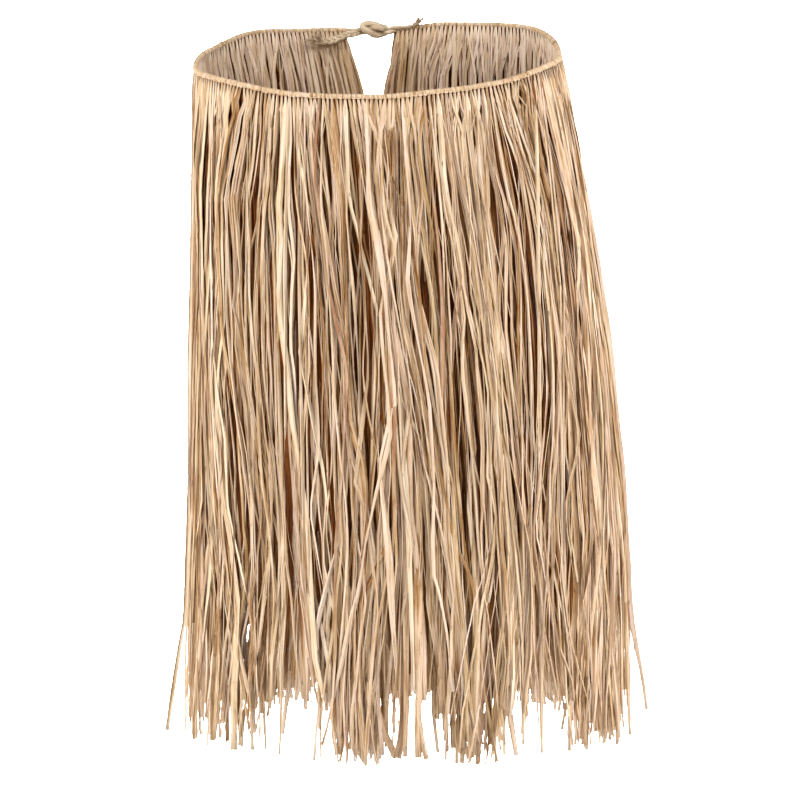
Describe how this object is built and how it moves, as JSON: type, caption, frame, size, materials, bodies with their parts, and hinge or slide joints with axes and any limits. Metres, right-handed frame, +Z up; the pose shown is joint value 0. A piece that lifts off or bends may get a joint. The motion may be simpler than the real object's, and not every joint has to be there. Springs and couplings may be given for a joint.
{
  "type": "grass skirt",
  "caption": "Raffia grass skirt in its worn shape: an open waist cord tied at the back, with a full ring of long hanging strands looped onto it.",
  "frame": {"origin": "centre of the waist opening, at the height of the waist cord, where the wearer holds the skirt", "axes": "+Z up the wearer's body, +Y to the back where the cord is tied, -Y the front, +X to the right as seen from the front"},
  "size_m": [0.5245, 0.3154, 0.7688],
  "materials": {
    "raffia_strands": "dried raffia palm leaf, split into strips, dull satin",
    "raffia_cord": "raffia twisted into a cord, dull satin"
  },
  "bodies": {
    "root": {"waist_cord": "raffia_cord", "tie_knot_left": "raffia_cord", "tie_knot_right": "raffia_cord", "tie_end_left": "raffia_cord", "tie_end_right": "raffia_cord", "fringe_back_left_1": "raffia_strands", "fringe_back_left_2": "raffia_strands", "fringe_back_left_3": "raffia_strands", "fringe_left_side_1": "raffia_strands", "fringe_left_side_2": "raffia_strands", "fringe_left_side_3": "raffia_strands", "fringe_front_left_1": "raffia_strands", "fringe_front_left_2": "raffia_strands", "fringe_front_left_3": "raffia_strands", "fringe_front_left_4": "raffia_strands", "fringe_front_right_1": "raffia_strands", "fringe_front_right_2": "raffia_strands", "fringe_front_right_3": "raffia_strands", "fringe_front_right_4": "raffia_strands", "fringe_right_side_1": "raffia_strands", "fringe_right_side_2": "raffia_strands", "fringe_right_side_3": "raffia_strands", "fringe_back_right_1": "raffia_strands", "fringe_back_right_2": "raffia_strands", "fringe_back_right_3": "raffia_strands"}
  },
  "joints": []
}
